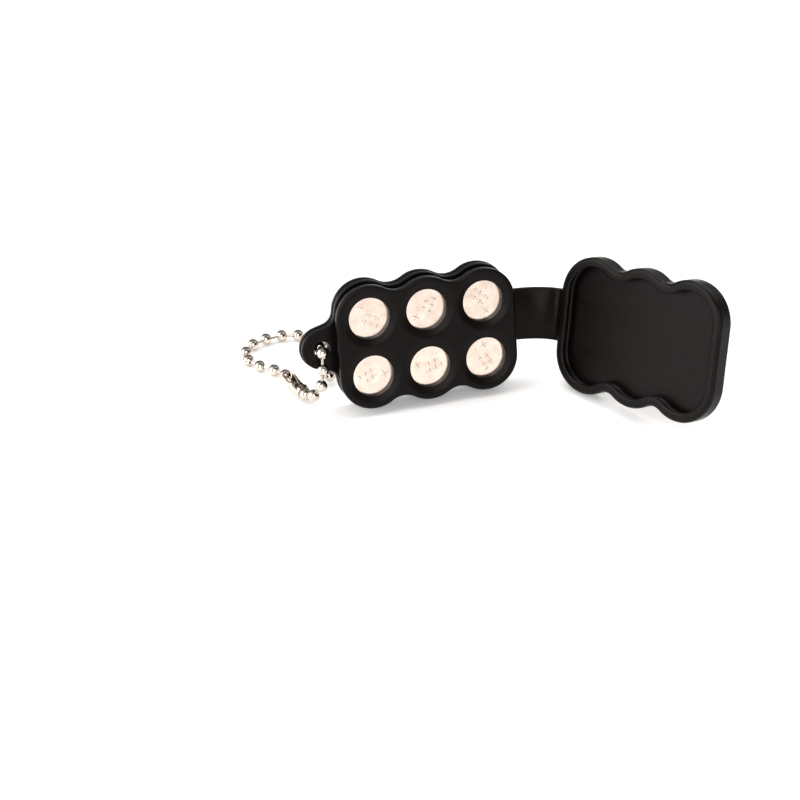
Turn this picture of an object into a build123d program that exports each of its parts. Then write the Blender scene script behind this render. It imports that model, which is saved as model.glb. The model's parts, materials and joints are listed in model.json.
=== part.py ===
"""Keyring case for six button cells: a moulded rubber tray and lid joined by a flexible strap.

The open case stands on its long edge with both halves leaning back. Lengths are millimetres,
angles degrees. X runs along the tray, -Y is the side that shows the cells, +Z is up.
"""
import os
from math import cos, radians, sin

from build123d import *

os.makedirs("parts", exist_ok=True)

# ---- driving dimensions ---------------------------------------------------------------------
CELL_R = 5.8                # button cell, 11.6 across
CELL_T = 5.4                # and 5.4 from face to face
PITCH = 14.2                # pocket to pocket, both ways
COLUMNS, ROWS = 3, 2

LOBE_R = 8.1                # round corners of the head's outline
VALLEY_R = 5.4              # hollows between the round corners
HALF_LENGTH = PITCH + LOBE_R
POCKETS = [(PITCH * (column - (COLUMNS - 1) / 2), PITCH * ((ROWS - 1) / 2 - row))
           for row in range(ROWS) for column in range(COLUMNS)]

# depths are counted from the tray's flat back towards the open side
BASE_DEPTH = 3.2            # base plate, from 0
PARTING_DEPTH = 1.5         # mould's parting line round its edge
NECK_DEPTH = 6.0            # top of the narrow neck that the lid's lip grips
HEAD_DEPTH = 7.8            # face of the head
FLOOR_DEPTH = 0.8           # floor of the pockets
RIM_DEPTH = 5.1             # rim of the shut lid
LIP_DEPTH = 5.9             # top of the lid's lip
CEILING_DEPTH = 8.1         # ceiling of the shut lid
TOP_DEPTH = 9.8             # outside of the shut lid

BASE_INSET = 0.3            # outlines, as offsets from the head's
PARTING_STEP = 0.15
NECK_INSET = 1.2
LIP_INSET = 0.85
CAVITY_GROW = 0.35
LID_GROW = 1.55

BASE_TALLER = 0.6           # how far the base plate's rows of lobes lie outside the head's
BASE_SHIFT = 0.3            # and how far the whole outline lies towards the strap
BASE_END = HALF_LENGTH - BASE_INSET + BASE_SHIFT

POCKET_R = CELL_R + 0.15    # loose fit for the cell
MOUTH_R = 5.0               # the soft lip leaves this much open
MOUTH_DEPTH = 7.3           # the lip's edge, where the dish around each mouth ends
DISH_R = 6.7                # outer radius of the dish
DISH_SLOPE = (HEAD_DEPTH - MOUTH_DEPTH) / (DISH_R - MOUTH_R)
DISH_DEPTH = MOUTH_DEPTH + (POCKET_R - MOUTH_R) * DISH_SLOPE
FACE = FLOOR_DEPTH + CELL_T         # the flat positive face of a cell
LIP_GAP = 0.05                      # between that face and the lip over its edge

LUG_X, LUG_R = 25.1, 5.1    # lug for the chain, left of the tray
LUG_HOLE_R = 2.0
LUG_ROOT_W = 12.4           # its width where it grows out of the base plate
LUG_ROOT_IN = 1.2
LUG_FLARE_R = 3.2           # hollow corners between the lug and the base plate

STRAP_W, STRAP_T = 13.0, 1.3
STRAP_Y = 0.7               # its middle, above the middle of each half
STRAP_DEPTH = 1.0           # middle of the strap where it leaves the base plate
STRAP_LID_DEPTH = 6.7       # and where it enters the side of the lid
STRAP_REACH = 4.6           # how far it runs straight out of each side

LEAN = 12.7                 # how far the tray leans back
FOLD_X, FOLD_DEPTH = 29.1, 2.45     # the line that the lid folds about, right of the tray
FOLD_TILT_X, FOLD_TILT_Y = 4.2, 3.6  # its tilt to the right and backwards, against the tray
OPEN_ANGLE = 116.5          # from shut to the resting pose

BEAD_R = 1.4
BEAD_PITCH = 4.2
WIRE_R = 0.4
CLASP_BORE_R = 1.5
CLASP_WALL = 0.3
CLASP_SLOT_W = 2.2
CLASP_BACK = 0.8            # how far each end of the clasp stops short of its bead's centre

TRAY_X, TRAY_Y = -10.57, 8.355   # the tray's foot, with the origin under the middle of the whole box
LIFT = 15.03                # height of the tray's middle, so that its lower edge rests at 0

# ---- frames ---------------------------------------------------------------------------------
FORWARD = Vector(0, -cos(radians(LEAN)), sin(radians(LEAN)))
TRAY = Plane(origin=(TRAY_X, TRAY_Y, LIFT), x_dir=(1, 0, 0), z_dir=FORWARD)

fold_point = TRAY.from_local_coords(Vector(FOLD_X, 0, FOLD_DEPTH))
fold_line = TRAY.y_dir.rotate(Axis((0, 0, 0), TRAY.z_dir), -FOLD_TILT_X)
fold_line = fold_line.rotate(Axis((0, 0, 0), TRAY.x_dir), -FOLD_TILT_Y)
hinge = Plane(origin=fold_point, z_dir=fold_line).location
LID = Plane(hinge * Rot(0, 0, OPEN_ANGLE) * hinge.inverse() * TRAY.location)


def depth(plane):
    """the line along which faces of one half are sorted from back to front"""
    return Axis(plane.origin, plane.z_dir)


def outline(grow, taller=0):
    """the six-lobed outline of the head, grown outwards, with both rows of lobes moved outwards"""
    with BuildSketch(mode=Mode.PRIVATE) as shape:
        with GridLocations(PITCH, PITCH + 2 * taller, COLUMNS, ROWS):
            Circle(LOBE_R)
        Rectangle(2 * HALF_LENGTH, PITCH + 2 * taller)
        valleys = [v for v in shape.vertices() if abs(abs(v.X) - PITCH / 2) < 0.1 and abs(v.Y) > PITCH / 2]
        fillet(valleys, VALLEY_R)
        offset(amount=grow)
    return shape.sketch


def layer(plane, grow, start, end, mode=Mode.ADD):
    """one slice of a half, with the outline grown and its depth from start to end"""
    with BuildSketch(plane.offset(start)) as section:
        add(outline(grow))
    extrude(section.sketch, amount=end - start, mode=mode)


def turned(plane, x, y, profile):
    """a body turned about the axis of the pocket at x, y, from (radius, depth) points"""
    with BuildPart() as body:
        centre = plane.from_local_coords(Vector(x, y, 0))
        with BuildSketch(Plane(origin=centre, x_dir=plane.x_dir, z_dir=plane.x_dir.cross(plane.z_dir))):
            with BuildLine():
                Polyline(*profile, close=True)
            make_face()
        revolve(axis=Axis(centre, plane.z_dir))
    return body.part


# ---- tray -----------------------------------------------------------------------------------
POCKET_PROFILE = [(0, FLOOR_DEPTH), (POCKET_R, FLOOR_DEPTH), (POCKET_R, DISH_DEPTH),
                  (DISH_R, HEAD_DEPTH), (DISH_R, TOP_DEPTH), (0, TOP_DEPTH)]

with BuildPart() as tray:
    with BuildSketch(TRAY) as base:
        with Locations((-LUG_X, 0)):
            Circle(LUG_R)
        with Locations((-HALF_LENGTH + LUG_ROOT_IN, 0)):
            Rectangle(1.0, LUG_ROOT_W)
        make_hull()
        with Locations((BASE_SHIFT, 0)):
            add(outline(-BASE_INSET, BASE_TALLER))
        offset(amount=LUG_FLARE_R)
        offset(amount=-LUG_FLARE_R)
    extrude(amount=PARTING_DEPTH)
    fillet(faces().sort_by(depth(TRAY))[0].edges(), 0.5)
    with BuildSketch(TRAY.offset(PARTING_DEPTH)):
        add(offset(base.sketch_local, amount=-PARTING_STEP, mode=Mode.PRIVATE))
    extrude(amount=BASE_DEPTH - PARTING_DEPTH)
    fillet(faces().sort_by(depth(TRAY))[-1].edges(), 0.4)
    layer(TRAY, -NECK_INSET, BASE_DEPTH, NECK_DEPTH)
    layer(TRAY, 0, NECK_DEPTH, HEAD_DEPTH)
    head_back = faces().filter_by_position(depth(TRAY), NECK_DEPTH - 0.01, NECK_DEPTH + 0.01)
    fillet(head_back[0].outer_wire().edges(), 0.4)
    fillet(faces().sort_by(depth(TRAY))[-1].edges(), 0.6)
    for x, y in POCKETS:
        add(turned(TRAY, x, y, POCKET_PROFILE), mode=Mode.SUBTRACT)
    mouths = faces().sort_by(depth(TRAY))[-1].inner_wires().edges()
    fillet(mouths, 2.4)
    with BuildSketch(TRAY):
        with Locations((-LUG_X, 0)):
            Circle(LUG_HOLE_R)
    extrude(amount=BASE_DEPTH, mode=Mode.SUBTRACT)
tray.part.label = "tray"
export_step(tray.part, "parts/tray.step")

# ---- lid, with the soft lip that goes over the head --------------------------------------------
with BuildPart() as lid:
    layer(LID, LID_GROW, RIM_DEPTH, TOP_DEPTH)
    fillet(faces().sort_by(depth(LID))[0].edges(), 1.0)
    fillet(faces().sort_by(depth(LID))[-1].edges(), 1.0)
    layer(LID, CAVITY_GROW, RIM_DEPTH, CEILING_DEPTH, Mode.SUBTRACT)
    ceiling = faces().filter_by_position(depth(LID), CEILING_DEPTH - 0.01, CEILING_DEPTH + 0.01)
    fillet(ceiling[0].edges(), 0.8)
lid.part.label = "lid"
export_step(lid.part, "parts/lid.step")

with BuildPart() as lid_lip:
    layer(LID, CAVITY_GROW, RIM_DEPTH, LIP_DEPTH)
    layer(LID, -LIP_INSET, RIM_DEPTH, LIP_DEPTH, Mode.SUBTRACT)
    fillet(faces().sort_by(depth(LID))[0].inner_wires().edges(), 0.5)
    fillet(faces().sort_by(depth(LID))[-1].inner_wires().edges(), 0.25)
lid_lip.part.label = "lid_lip"
export_step(lid_lip.part, "parts/lid_lip.step")

# ---- strap, a twisted ribbon from the side of the base plate to the side of the lid -----------
strap_start = TRAY.from_local_coords(Vector(BASE_END, STRAP_Y, STRAP_DEPTH))
strap_end = LID.from_local_coords(Vector(HALF_LENGTH + LID_GROW, STRAP_Y, STRAP_LID_DEPTH))
with BuildLine() as strap_path:
    Bezier(strap_start, strap_start + TRAY.x_dir * STRAP_REACH, strap_end + LID.x_dir * STRAP_REACH, strap_end)
with BuildPart() as strap:
    for share in (0, 0.2, 0.4, 0.6, 0.8, 1):
        across = TRAY.y_dir * (1 - share) + LID.y_dir * share
        with BuildSketch(Plane(strap_path.line @ share, x_dir=across, z_dir=strap_path.line % share)):
            Rectangle(STRAP_W, STRAP_T)
    loft()
strap.part.label = "strap"
export_step(strap.part, "parts/strap.step")

# ---- pockets' soft lips and the six cells -----------------------------------------------------
CAN_T, CAP_T = 0.3, 0.25
CAP_R = 4.6
GASKET_TOP = 3.2
SEPARATOR_T = 0.2
LIP_PROFILE = [(MOUTH_R, FACE + LIP_GAP), (POCKET_R, FACE + LIP_GAP), (POCKET_R, DISH_DEPTH),
               (MOUTH_R, MOUTH_DEPTH)]


def cell_profiles():
    """the pieces of a cell, each as (radius, depth) points around its axis"""
    base = FLOOR_DEPTH
    inside_r = CELL_R - CAN_T
    gasket_top = base + GASKET_TOP
    cathode_floor = gasket_top + SEPARATOR_T
    return {
        "can": [(0, FACE), (CELL_R - 0.5, FACE), (CELL_R - 0.15, FACE - 0.15), (CELL_R, FACE - 0.5),
                (CELL_R, base + 0.7), (CELL_R - 0.5, base + 0.25), (CAP_R + 0.5, base + 0.25),
                (CAP_R + 0.5, base + 0.55), (inside_r, base + 0.9), (inside_r, FACE - CAN_T), (0, FACE - CAN_T)],
        "gasket": [(CAP_R, base + 0.25), (CAP_R + 0.5, base + 0.25), (CAP_R + 0.5, base + 0.55),
                   (inside_r, base + 0.9), (inside_r, gasket_top), (CAP_R, gasket_top)],
        "cap": [(0, base), (CAP_R - 0.3, base), (CAP_R, base + 0.3), (CAP_R, gasket_top),
                (CAP_R - CAP_T, gasket_top), (CAP_R - CAP_T, base + 0.4), (CAP_R - 0.45, base + CAP_T),
                (0, base + CAP_T)],
        "anode": [(0, base + CAP_T), (CAP_R - 0.45, base + CAP_T), (CAP_R - CAP_T, base + 0.4),
                  (CAP_R - CAP_T, gasket_top), (0, gasket_top)],
        "separator": [(0, gasket_top), (inside_r, gasket_top), (inside_r, cathode_floor), (0, cathode_floor)],
        "cathode": [(0, cathode_floor), (inside_r, cathode_floor), (inside_r, FACE - CAN_T), (0, FACE - CAN_T)],
    }


for number, (x, y) in enumerate(POCKETS, start=1):
    lip = turned(TRAY, x, y, LIP_PROFILE)
    lip.label = f"pocket_lip_{number}"
    export_step(lip, f"parts/pocket_lip_{number}.step")
    for piece, profile in cell_profiles().items():
        solid = turned(TRAY, x, y, profile)
        solid.label = f"cell_{number}_{piece}"
        export_step(solid, f"parts/cell_{number}_{piece}.step")

# ---- ball chain: up the front of the lug, through its hole, down behind and round on the ground --
ROUTE = [
    (-28.8, 0.1, 2.5), (-27.5, -4.1, 4.5), (-26.1, -5.7, 8.2), (-25.8, -5.5, 12.2), (-25.6, -4.6, 15.6),
    (-25.2, -0.5, 15.2), (-24.9, 3.0, 13.9), (-23.9, 5.0, 10.3), (-22.4, 6.0, 6.4), (-21.0, 6.8, 2.5),
    (-19.2, 10.2, 1.45), (-18.0, 14.2, 1.45), (-17.5, 18.4, 1.45), (-17.6, 22.6, 1.45), (-18.8, 26.8, 1.45),
    (-21.7, 30.5, 1.45), (-25.5, 31.8, 1.45), (-30.0, 31.5, 1.45), (-34.1, 29.7, 1.45), (-36.9, 26.4, 1.45),
    (-37.4, 22.3, 1.45), (-35.7, 18.8, 1.45), (-32.8, 15.5, 1.55), (-30.7, 11.4, 1.9),
]
with BuildLine() as route:
    Spline(*[(TRAY_X + x, TRAY_Y + y, z) for x, y, z in ROUTE])
chain_line = route.edge()
spaces = round(chain_line.length / BEAD_PITCH)
beads = [chain_line @ (i / spaces) for i in range(spaces + 1)]

with BuildPart() as chain_beads:
    with Locations(*beads):
        Sphere(BEAD_R)
chain_beads.part.label = "chain_beads"
export_step(chain_beads.part, "parts/chain_beads.step")

with BuildPart() as chain_links:
    for near, far in zip(beads, beads[1:]):
        start, end = (Plane(origin=ball, z_dir=far - near) for ball in (near, far))
        with BuildPart():
            with BuildSketch(start):
                Circle(WIRE_R)
            extrude(amount=(far - near).length)
            with Locations(start, end):
                Sphere(BEAD_R, mode=Mode.SUBTRACT)
chain_links.part.label = "chain_links"
export_step(chain_links.part, "parts/chain_links.step")

first, last = beads[0], beads[-1]
span = last - first
clasp_start = first + span.normalized() * CLASP_BACK
with BuildPart() as chain_clasp:
    with BuildSketch(Plane(origin=clasp_start, x_dir=(0, 0, 1), z_dir=span)):
        Circle(CLASP_BORE_R + CLASP_WALL)
        Circle(CLASP_BORE_R, mode=Mode.SUBTRACT)
        with Locations((BEAD_R, 0)):
            Rectangle(BEAD_R, CLASP_SLOT_W, mode=Mode.SUBTRACT)
    extrude(amount=span.length - 2 * CLASP_BACK)
chain_clasp.part.label = "chain_clasp"
export_step(chain_clasp.part, "parts/chain_clasp.step")
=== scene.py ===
"""Looks for the open keyring case: rubber tray and lid, strap, six button cells and ball chain.

Everything is in metres in the row frame. The CAD nodes whose shape is right keep it and get their
materials here; the strap, the chain's balls and its clasp are replaced by more detailed pieces.
"""
import json
from math import cos, pi, radians, sin

import bmesh
import bpy
import numpy as np
from mathutils import Matrix, Vector


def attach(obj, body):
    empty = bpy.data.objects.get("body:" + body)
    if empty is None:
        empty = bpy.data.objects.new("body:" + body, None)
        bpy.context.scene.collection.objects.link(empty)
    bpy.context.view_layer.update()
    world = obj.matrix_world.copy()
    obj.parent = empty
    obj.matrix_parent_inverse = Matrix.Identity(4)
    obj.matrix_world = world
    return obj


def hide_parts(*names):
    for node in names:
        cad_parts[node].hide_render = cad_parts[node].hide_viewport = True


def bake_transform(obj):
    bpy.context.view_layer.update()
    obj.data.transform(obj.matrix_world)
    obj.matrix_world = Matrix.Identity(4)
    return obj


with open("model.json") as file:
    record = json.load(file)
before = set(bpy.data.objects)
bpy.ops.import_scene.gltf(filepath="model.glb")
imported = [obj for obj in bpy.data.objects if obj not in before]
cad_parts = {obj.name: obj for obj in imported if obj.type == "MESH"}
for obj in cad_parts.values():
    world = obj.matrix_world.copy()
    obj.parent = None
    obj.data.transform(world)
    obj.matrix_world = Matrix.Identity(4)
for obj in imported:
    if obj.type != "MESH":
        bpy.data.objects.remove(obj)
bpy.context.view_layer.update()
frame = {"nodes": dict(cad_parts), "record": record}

MM = 0.001

# ---- dimensions shared with the CAD, in millimetres --------------------------------------------
HALF_LENGTH = 22.3          # from the tray's middle to the end of its head
BASE_END = 22.3             # to the end of its base plate, where the strap starts
LID_GROW = 1.55             # how much further the lid's rim reaches than the head
STRAP_W, STRAP_T = 13.0, 1.3
STRAP_Y = 0.7               # its middle, above the middle of each half
STRAP_DEPTH = 1.0           # middle of the strap where it leaves the base plate
STRAP_LID_DEPTH = 6.7       # and where it enters the side of the lid
STRAP_REACH = 4.6           # how far it runs straight out of each side
PITCH = 14.2                # pocket to pocket, both ways
FACE_DEPTH = 6.2            # the flat face of a seated cell, from the tray's back
BEAD_PITCH = 4.2            # about; the balls are spread evenly along the chain
CLASP_R, CLASP_WALL = 1.8, 0.3
CLASP_BACK = 0.8            # how far inside the middle of each end ball the clasp stops

# ---- frames of the two halves, from the record -------------------------------------------------
record = frame["record"]
mounts = {mount["name"]: mount for mount in record["mounts"]}
fold = next(joint for joint in record["behaviour"]["joints"] if joint["name"] == "lid_fold")


def plane(origin, across, forward):
    """a matrix whose x runs along a half, y up its face and z out of its open side"""
    up = forward.cross(across)
    axes = Matrix((across, up, forward)).transposed().to_4x4()
    return Matrix.Translation(origin) @ axes


back = mounts["tray_back"]
TRAY = plane(Vector(back["pos_m"]), Vector((1, 0, 0)), -Vector(back["axis"]))
hinge = Matrix.Translation(Vector(fold["pos_m"]))
swing = Matrix.Rotation(radians(-fold["range_deg"][0]), 4, Vector(fold["axis"]))
LID = hinge @ swing @ hinge.inverted() @ TRAY


def place(half, x, y, depth):
    """a point of one half, from millimetres along it, up it and out of its back"""
    return half @ Vector((x * MM, y * MM, depth * MM))


def direction(half, x, y, z):
    """a direction of one half in the row frame"""
    return half.to_3x3() @ Vector((x, y, z))


# ---- camera, lights and floor ------------------------------------------------------------------
CAMERA_AT = (-0.13862, -0.36573, 0.23174)
CAMERA_TARGET = (-0.01773, 0.00116, 0.0009)
LENS, SENSOR = 83.88, 36    # both in millimetres


def make_camera():
    data = bpy.data.cameras.new("camera")
    data.lens = LENS
    data.sensor_width = SENSOR
    data.clip_start = 0.01
    camera = bpy.data.objects.new("camera", data)
    bpy.context.collection.objects.link(camera)
    camera.location = CAMERA_AT
    look = Vector(CAMERA_TARGET) - Vector(CAMERA_AT)
    camera.rotation_euler = look.to_track_quat("-Z", "Y").to_euler()
    bpy.context.scene.camera = camera


WORLD_COLOUR, WORLD_LIGHT = (1.0, 0.985, 0.97, 1), 0.3
SUNS = (                    # name, azimuth, elevation, strength, apparent size in degrees, colour
    ("softbox_left", 62, 52, 2.3, 66, (1.0, 0.99, 0.975)),
    ("softbox_right", -50, 60, 2.2, 70, (1.0, 0.98, 0.96)),
    ("front_fill", 166, 25, 1.5, 46, (1.0, 0.985, 0.97)),
    ("side_fill", 92, 13, 2.5, 52, (1.0, 0.985, 0.97)),
)


def make_sun(name, azimuth, elevation, strength, angle, colour):
    """a soft distant light; azimuth 0 shines from behind the object, 90 from its left"""
    data = bpy.data.lights.new(name, "SUN")
    data.energy = strength
    data.angle = radians(angle)
    data.color = colour
    light = bpy.data.objects.new(name, data)
    bpy.context.collection.objects.link(light)
    turn, rise = radians(azimuth), radians(elevation)
    source = Vector((-sin(turn) * cos(rise), cos(turn) * cos(rise), sin(rise)))
    light.rotation_euler = (-source).to_track_quat("-Z", "Y").to_euler()


def make_lights():
    world = bpy.data.worlds.new("studio")
    world.use_nodes = True
    background = world.node_tree.nodes["Background"]
    background.inputs["Color"].default_value = WORLD_COLOUR
    background.inputs["Strength"].default_value = WORLD_LIGHT
    bpy.context.scene.world = world
    for sun in SUNS:
        make_sun(*sun)
    bpy.context.scene.view_settings.view_transform = "Standard"


# ---- materials ---------------------------------------------------------------------------------
class Shader:
    """a small helper that adds nodes to a new Principled material and links them"""

    def __init__(self, name):
        self.material = bpy.data.materials.new(name)
        self.material.use_nodes = True
        self.tree = self.material.node_tree
        self.principled = self.tree.nodes["Principled BSDF"]

    def fixed(self, **values):
        """set inputs of the main shader, with _ for a space in their names"""
        for name, value in values.items():
            self.principled.inputs[name.replace("_", " ")].default_value = value

    def node(self, kind, **inputs):
        made = self.tree.nodes.new(kind)
        for name, value in inputs.items():
            self.put(made, name.replace("_", " "), value)
        return made

    def put(self, node, name, value):
        socket = node.inputs[name]
        if isinstance(value, bpy.types.NodeSocket):
            self.tree.links.new(value, socket)
        else:
            socket.default_value = value

    def stretched(self, scale):
        """object coordinates, stretched"""
        coordinates = self.node("ShaderNodeTexCoord").outputs["Object"]
        return self.node("ShaderNodeMapping", Vector=coordinates, Scale=scale).outputs["Vector"]

    def noise(self, scale, detail=3.0, stretch=(1, 1, 1)):
        """a value between 0 and 1 that varies scale times a metre"""
        spot = self.stretched(stretch)
        texture = self.node("ShaderNodeTexNoise", Vector=spot, Scale=scale, Detail=detail)
        return texture.outputs["Fac"]

    def between(self, value, low, high, start=0.3, end=0.7):
        """a number spread from low to high as value goes from start to end"""
        spread = self.node("ShaderNodeMapRange", Value=value)
        spread.inputs["From Min"].default_value = start
        spread.inputs["From Max"].default_value = end
        spread.inputs["To Min"].default_value = low
        spread.inputs["To Max"].default_value = high
        return spread.outputs["Result"]

    def ramp(self, value, *stops):
        """a colour from (place, colour) stops"""
        made = self.node("ShaderNodeValToRGB", Fac=value)
        elements = made.color_ramp.elements
        while len(elements) < len(stops):
            elements.new(0.5)
        for element, (spot, colour) in zip(elements, stops):
            element.position = spot
            element.color = (*colour, 1)
        return made.outputs["Color"]

    def bump(self, *layers):
        """one bump on the next, from (height, strength, distance in millimetres)"""
        normal = None
        for height, strength, distance in layers:
            depth = distance * MM
            made = self.node("ShaderNodeBump", Height=height, Strength=strength, Distance=depth)
            if normal is not None:
                self.put(made, "Normal", normal)
            normal = made.outputs["Normal"]
        self.put(self.principled, "Normal", normal)


def rubber(name, dark, light, rough, gloss):
    """satin moulded silicone rubber: a fine grain, faint flow marks and a trace of dust"""
    shader = Shader(name)
    mottle = shader.noise(260, 5)
    grain = shader.noise(6500, 2)
    flow = shader.noise(90, 2, (1, 1, 2.5))
    shader.put(shader.principled, "Base Color", shader.ramp(mottle, (0.25, dark), (0.8, light)))
    shader.put(shader.principled, "Roughness", shader.between(flow, rough - 0.05, rough + 0.06))
    shader.bump((mottle, 0.12, 0.05), (grain, 0.35, 0.02))
    shader.fixed(Specular_IOR_Level=gloss)
    return shader.material


PAINTED_DARK_START, PAINTED_DARK_END = 0.6, 0.86    # painted dark reflection: the base colour dims between these upward parts of the normal


def nickel(name, dark, light, rough, brushed, painted_top_brightness=1.0):
    """nickel plate: rolled lines, slight stains and fine scratches

    the last argument is the brightness left on what faces up, a painted dark reflection of the
    room above, where a real mirror shows a dark room
    """
    shader = Shader(name)
    stain = shader.noise(420, 4)
    lines = shader.noise(1500, 3, brushed)
    # painted reflection: the plate's colour is darkened where the normal points up
    facing = shader.node("ShaderNodeNewGeometry").outputs["Normal"]
    upward = shader.node("ShaderNodeSeparateXYZ", Vector=facing).outputs["Z"]
    shade = shader.between(upward, 1.0, painted_top_brightness, PAINTED_DARK_START, PAINTED_DARK_END)
    plate = shader.ramp(stain, (0.3, dark), (0.7, light))
    painted_reflection = shader.node("ShaderNodeHueSaturation", Color=plate, Value=shade)
    shader.put(shader.principled, "Base Color", painted_reflection.outputs["Color"])
    shader.put(shader.principled, "Roughness", shader.between(lines, rough - 0.06, rough + 0.08))
    shader.bump((lines, 0.25, 0.004), (stain, 0.2, 0.02))
    shader.fixed(Metallic=1.0)
    return shader.material


def pressed(name, dark, light, rough, scale):
    """the pressed powders, paper and plastic inside a cell"""
    shader = Shader(name)
    speckle = shader.noise(scale, 4)
    shader.put(shader.principled, "Base Color", shader.ramp(speckle, (0.35, dark), (0.65, light)))
    shader.bump((speckle, 0.4, 0.03))
    shader.fixed(Roughness=rough)
    return shader.material


FLOOR_DARK, FLOOR_LIGHT = (0.73, 0.725, 0.72), (0.75, 0.745, 0.74)
FLOOR_GLOW = 0.19           # keeps the shadows as pale as on a lit white sheet


def floor_material():
    shader = Shader("floor_white")
    haze = shader.noise(3, 2)
    shade = shader.ramp(haze, (0.3, FLOOR_DARK), (0.7, FLOOR_LIGHT))
    shader.put(shader.principled, "Base Color", shade)
    shader.fixed(Roughness=0.7, Specular_IOR_Level=0.15)
    shader.fixed(Emission_Color=(1.0, 1.0, 1.0, 1), Emission_Strength=FLOOR_GLOW)
    return shader.material


RUBBER = rubber("rubber_black", (0.0020, 0.0013, 0.0010), (0.0036, 0.0026, 0.0021), 0.31, 0.11)
STRAP_RUBBER = rubber("rubber_strap", (0.0034, 0.0018, 0.0012), (0.0052, 0.0030, 0.0021),
                      0.24, 0.075)

BRUSHED, PLAIN = (1, 6, 6), (1, 1, 1)     # how the lines of a nickel plate are stretched
CAN = nickel("nickel_can", (0.70, 0.57, 0.49), (0.87, 0.73, 0.64), 0.2, BRUSHED)
CAP = nickel("nickel_cap", (0.72, 0.69, 0.65), (0.80, 0.78, 0.74), 0.26, BRUSHED)
# its last number paints a dark reflection onto the tops of the balls and the clasp
POLISHED = nickel("nickel_polished", (0.64, 0.565, 0.495), (0.74, 0.67, 0.595), 0.12, PLAIN, 0.11)
STAMPED = nickel("nickel_stamped", (0.58, 0.48, 0.41), (0.70, 0.59, 0.51), 0.36, PLAIN)
WIRE = nickel("steel_wire", (0.46, 0.42, 0.37), (0.56, 0.52, 0.47), 0.25, PLAIN)

GASKET = pressed("gasket_grey", (0.10, 0.10, 0.095), (0.14, 0.14, 0.13), 0.5, 900)
ANODE = pressed("zinc_powder", (0.16, 0.165, 0.175), (0.30, 0.31, 0.33), 0.6, 3500)
PAPER = pressed("separator_paper", (0.62, 0.60, 0.55), (0.74, 0.72, 0.67), 0.85, 2500)
CATHODE = pressed("carbon_powder", (0.012, 0.012, 0.012), (0.030, 0.030, 0.030), 0.8, 3000)

INSIDE_A_CELL = {
    "can": CAN,
    "cap": CAP,
    "gasket": GASKET,
    "anode": ANODE,
    "separator": PAPER,
    "cathode": CATHODE,
}


def finish_of(node):
    """the material that a CAD node gets"""
    if node.startswith("cell_"):
        return INSIDE_A_CELL[node.rsplit("_", 1)[1]]
    return WIRE if node == "chain_links" else RUBBER


def dress_nodes():
    """give every CAD node its material, also those that a detailed piece replaces later"""
    for name, node in frame["nodes"].items():
        node.data.materials.clear()
        node.data.materials.append(finish_of(name))


# ---- mesh helpers ------------------------------------------------------------------------------
def piece(name, vertices, faces, material, body=None):
    """a smooth mesh piece that, if a body is given, rides on that body"""
    mesh = bpy.data.meshes.new(name)
    mesh.from_pydata([tuple(v) for v in vertices], [], faces)
    mesh.materials.append(material)
    made = bmesh.new()
    made.from_mesh(mesh)
    bmesh.ops.recalc_face_normals(made, faces=made.faces)
    made.to_mesh(mesh)
    made.free()
    mesh.shade_smooth()
    item = bpy.data.objects.new(name, mesh)
    bpy.context.collection.objects.link(item)
    if body:
        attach(item, body)
    return item


def rows_to_faces(rows, around, start=0):
    """quads between neighbouring rings of vertices, each ring with `around` of them"""
    faces = []
    for row in range(rows - 1):
        near, far = start + row * around, start + (row + 1) * around
        for i in range(around):
            j = (i + 1) % around
            faces.append((near + i, near + j, far + j, far + i))
    return faces


def end_faces(first, last, around):
    """the faces that close a tube at its first ring and its last, from where those rings start"""
    return [tuple(range(first, first + around))[::-1], tuple(range(last, last + around))]


# ---- strap -------------------------------------------------------------------------------------
STRAP_STATIONS = 48
STRAP_CORNER = 0.42
STRAP_SUNK = 0.35           # each end reaches this far into its half
ROOT_FLARE, ROOT_LENGTH = 0.45, 1.1


def rounded_section(width, thickness, corner, steps=5):
    """points round a rectangle with rounded corners"""
    points = []
    for quarter, (sx, sy) in enumerate(((1, 1), (-1, 1), (-1, -1), (1, -1))):
        for i in range(steps + 1):
            angle = pi / 2 * (quarter + i / steps)
            x = sx * (width / 2 - corner) + corner * cos(angle)
            y = sy * (thickness / 2 - corner) + corner * sin(angle)
            points.append((x, y))
    return points


def bezier(points, t):
    """the point at t, from 0 to 1, on a curve with four control points"""
    a, b, c, d = points
    s = 1 - t
    return a * s ** 3 + b * (3 * s * s * t) + c * (3 * s * t * t) + d * t ** 3


def bezier_slope(points, t):
    """the direction of that curve at t"""
    a, b, c, d = points
    s = 1 - t
    return ((b - a) * (3 * s * s) + (c - b) * (6 * s * t) + (d - c) * (3 * t * t)).normalized()


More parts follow.
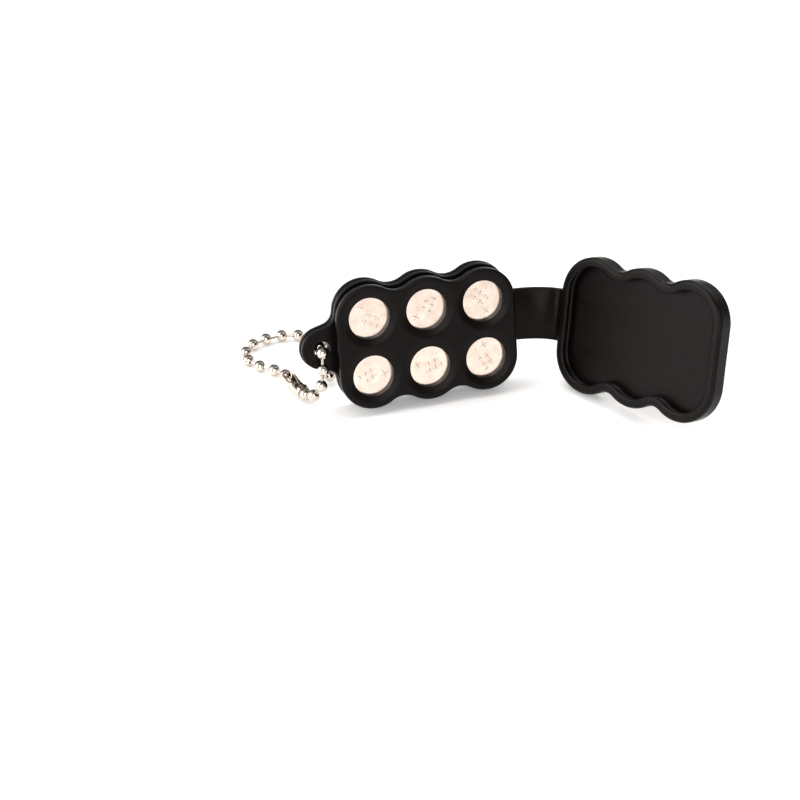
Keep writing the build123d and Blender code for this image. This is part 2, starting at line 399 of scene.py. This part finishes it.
def make_strap():
    """the flexible strap, flared where it grows out of each half"""
    start = place(TRAY, BASE_END - STRAP_SUNK, STRAP_Y, STRAP_DEPTH)
    end = place(LID, HALF_LENGTH + LID_GROW - STRAP_SUNK, STRAP_Y, STRAP_LID_DEPTH)
    reach = (STRAP_REACH + STRAP_SUNK) * MM
    out, back_in = direction(TRAY, 1, 0, 0) * reach, direction(LID, 1, 0, 0) * reach
    route = (start, start + out, end + back_in, end)
    across_start, across_end = direction(TRAY, 0, 1, 0), direction(LID, 0, 1, 0)
    stations = [i / (STRAP_STATIONS - 1) for i in range(STRAP_STATIONS)]
    middles = [bezier(route, t) for t in stations]
    lengths = np.cumsum([0] + [(q - p).length / MM for p, q in zip(middles, middles[1:])])
    vertices = []
    for t, middle, run in zip(stations, middles, lengths):
        to_root = max(0.0, 1 - (min(run, lengths[-1] - run) - STRAP_SUNK) / ROOT_LENGTH)
        flare = ROOT_FLARE * min(to_root, 1) ** 2
        ahead = bezier_slope(route, t)
        across = across_start.lerp(across_end, t)
        across = (across - ahead * across.dot(ahead)).normalized()
        proud = ahead.cross(across)
        for x, y in rounded_section(STRAP_W + 2 * flare, STRAP_T + flare, STRAP_CORNER):
            vertices.append(middle + across * (x * MM) + proud * (y * MM))
    around = len(vertices) // STRAP_STATIONS
    faces = rows_to_faces(STRAP_STATIONS, around)
    faces += end_faces(0, len(vertices) - around, around)
    strap = piece("strap_band", vertices, faces, STRAP_RUBBER)
    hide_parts("strap")
    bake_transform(strap)


# ---- ball chain --------------------------------------------------------------------------------
def ball_centres():
    """the middles of the chain's balls in order, from the CAD node's separate shells"""
    mesh = bmesh.new()
    mesh.from_mesh(frame["nodes"]["chain_beads"].data)
    bmesh.ops.remove_doubles(mesh, verts=mesh.verts, dist=MM / 1000)
    unseen, centres = set(mesh.verts), []
    while unseen:
        shell, edge = set(), [unseen.pop()]
        while edge:
            vertex = edge.pop()
            shell.add(vertex)
            for link in vertex.link_edges:
                other = link.other_vert(vertex)
                if other in unseen:
                    unseen.remove(other)
                    edge.append(other)
        low = Vector([min(v.co[i] for v in shell) for i in range(3)])
        high = Vector([max(v.co[i] for v in shell) for i in range(3)])
        centres.append((low + high) / 2)
    mesh.free()
    reach = 1.25 * BEAD_PITCH * MM
    ends = [c for c in centres if sum((c - other).length < reach for other in centres) == 2]
    chain = [min(ends, key=lambda c: c.y)]
    left = [c for c in centres if c is not chain[0]]
    while left:
        chain.append(min(left, key=lambda c: (c - chain[-1]).length))
        left.remove(chain[-1])
    return chain


def turned_to(axis, side):
    """a rotation whose z runs along axis and whose x leans towards side"""
    z = axis.normalized()
    x = (side - z * side.dot(z)).normalized()
    return Matrix((x, z.cross(x), z)).transposed()


BALL_R = 1.46               # a little more than in the CAD, as rolled balls bulge
BALL_HOLE_R = 0.5
BALL_SEAM, SEAM_END = 0.035, 0.9      # its depth, and the share of the radius where it stops
BALL_TWIST = 2.1            # radians from one ball's seam to the next one's
BALL_AROUND, BALL_ROWS = 40, 22


def ball_profile():
    """(out, along) from inside one hole round to inside the other, as shares of the radius"""
    hole = BALL_HOLE_R / BALL_R
    dimple = [(hole * 0.8, 0.80), (hole * 0.86, 0.93)]
    rows = [(out, -along) for out, along in dimple]
    for row in range(BALL_ROWS):
        tilt = hole * 1.05 + (pi - 2.1 * hole) * row / (BALL_ROWS - 1)
        rows.append((sin(tilt), -cos(tilt)))
    return rows + dimple[::-1]


def make_balls(centres):
    """balls rolled from strip, each with a seam and, at each end, a dimple for the link"""
    vertices, faces = [], []
    profile = ball_profile()
    for i, centre in enumerate(centres):
        before, after = centres[max(i - 1, 0)], centres[min(i + 1, len(centres) - 1)]
        seam = i * BALL_TWIST
        turn = turned_to(after - before, Vector((sin(seam), cos(seam), 0.6)))
        start = len(vertices)
        for out, along in profile:
            for step in range(BALL_AROUND):
                angle = 2 * pi * step / BALL_AROUND
                size = BALL_R - (BALL_SEAM if step == 0 and abs(along) < SEAM_END else 0)
                spot = Vector((cos(angle) * out, sin(angle) * out, along)) * (size * MM)
                vertices.append(centre + turn @ spot)
        faces += rows_to_faces(len(profile), BALL_AROUND, start)
        faces += end_faces(start, len(vertices) - BALL_AROUND, BALL_AROUND)
    balls = piece("chain_balls", vertices, faces, POLISHED, "tray")
    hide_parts("chain_beads")


CLASP_ROWS, CLASP_AROUND = 49, 40
CLASP_WAIST, CLASP_MOUTH = 0.22, 0.16     # how much thinner it is at its middle and at its ends
CLASP_SLOT, CLASP_KEYHOLE = 0.5, 0.42     # half the slot's angle, and how much more at a keyhole
KEYHOLE_AT = 0.19           # share of the length from each end
CLASP_EDGE = 0.06           # how far its edges are rounded


def near(distance, width):
    """1 at no distance, falling smoothly to nothing beyond about twice the width"""
    return np.exp(-(distance / width) ** 2)


def clasp_shape(share):
    """(outer radius, half of the slot's angle) at a share of the clasp's length"""
    from_end = min(share, 1 - share)
    waist = CLASP_WAIST * near(share - 0.5, 0.11)
    mouth = CLASP_MOUTH * near(from_end, 0.05)
    keyhole = CLASP_KEYHOLE * near(from_end - KEYHOLE_AT, 0.11)
    return CLASP_R - waist - mouth, CLASP_SLOT + keyhole


def make_clasp(centres):
    """the folded sleeve that holds the chain's two ends, with a keyhole slot over each end ball"""
    span = centres[-1] - centres[0]
    turn = turned_to(span, Vector((0, 0, 1)))
    start = centres[0] + span.normalized() * (CLASP_BACK * MM)
    length = span.length - 2 * CLASP_BACK * MM
    vertices = []
    for row in range(CLASP_ROWS):
        share = row / (CLASP_ROWS - 1)
        radius, slot = clasp_shape(share)
        angles = [slot + (2 * pi - 2 * slot) * i / (CLASP_AROUND - 1) for i in range(CLASP_AROUND)]
        ring = [(a, radius) for a in angles] + [(a, radius - CLASP_WALL) for a in reversed(angles)]
        for angle, size in ring:
            spot = Vector((cos(angle) * size * MM, sin(angle) * size * MM, share * length))
            vertices.append(start + turn @ spot)
    around = 2 * CLASP_AROUND
    faces = rows_to_faces(CLASP_ROWS, around)
    for first in (0, len(vertices) - around):
        for i in range(CLASP_AROUND - 1):
            opposite = around - 1 - i
            faces.append((first + i, first + i + 1, first + opposite - 1, first + opposite))
    clasp = piece("clasp_sleeve", vertices, faces, POLISHED, "tray")
    bevel = clasp.modifiers.new("soft_edges", "BEVEL")
    bevel.width = CLASP_EDGE * MM
    bevel.segments = 2
    bevel.limit_method = "ANGLE"
    bevel.angle_limit = radians(50)
    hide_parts("chain_clasp")


# ---- stamped marks on the cells ----------------------------------------------------------------
MARK_HEIGHT, MARK_TOP = 0.02, 0.8         # how proud a mark is, and its top's share of its foot
PLUS_AT, PLUS_SIZE = (-2.6, 1.5), 1.7
DASH_ROWS = ((0.5, 5, 0.0), (-1.2, 6, 0.4))     # height on the face, dashes, shift to the left
DASH_START, DASH_PITCH, DASH_W = -0.6, 0.78, 0.42
DASH_TALL, DASH_THIN = 0.9, 0.24
CELL_TURNS = (-28, 64, 140, 205, 20, 300)       # how far each cell is turned in its pocket


def bar(x, y, width, height):
    """the corners of an upright bar stamped on a cell's face"""
    return [(x - width / 2, y - height / 2), (x + width / 2, y - height / 2),
            (x + width / 2, y + height / 2), (x - width / 2, y + height / 2)]


def stamped_bars():
    """a plus sign and two rows of plain dashes"""
    bars = [bar(*PLUS_AT, PLUS_SIZE, DASH_THIN), bar(*PLUS_AT, DASH_THIN, PLUS_SIZE)]
    for row, count, shift in DASH_ROWS:
        for i in range(count):
            x = DASH_START + i * DASH_PITCH - shift
            bars.append(bar(x, row, DASH_W, DASH_TALL if i % 2 else DASH_THIN))
    return bars


def make_marks():
    """the marks on each cell's face, which ride with their cell"""
    for number, turn in enumerate(CELL_TURNS, start=1):
        column, row = (number - 1) % 3 - 1, (number - 1) // 3
        middle = place(TRAY, column * PITCH, PITCH * (0.5 - row), FACE_DEPTH)
        spin = TRAY.to_3x3() @ Matrix.Rotation(radians(turn), 3, "Z")
        vertices, faces = [], []
        for corners in stamped_bars():
            start = len(vertices)
            for height, shrink in ((0, 1.0), (MARK_HEIGHT, MARK_TOP)):
                centre = np.mean(corners, axis=0)
                for corner in corners:
                    x, y = centre + (np.array(corner) - centre) * shrink
                    vertices.append(middle + spin @ Vector((x * MM, y * MM, height * MM)))
            faces += rows_to_faces(2, 4, start) + end_faces(start, start + 4, 4)
        piece(f"cell_{number}_stamp", vertices, faces, STAMPED, f"cell_{number}")


# ---- floor -------------------------------------------------------------------------------------
FLOOR_HALF = 3.0            # metres from its middle to each side


def make_floor():
    """the white sheet that the case stands on, which is part of the stage and not of the object"""
    mesh = bpy.data.meshes.new("floor")
    corners = ((-1, -1), (1, -1), (1, 1), (-1, 1))
    mesh.from_pydata([(x * FLOOR_HALF, y * FLOOR_HALF, 0) for x, y in corners], [], [(0, 1, 2, 3)])
    mesh.materials.append(floor_material())
    floor = bpy.data.objects.new("floor", mesh)
    bpy.context.collection.objects.link(floor)


make_camera()
make_lights()
make_floor()
dress_nodes()
make_strap()
chain = ball_centres()
make_balls(chain)
make_clasp(chain)
make_marks()
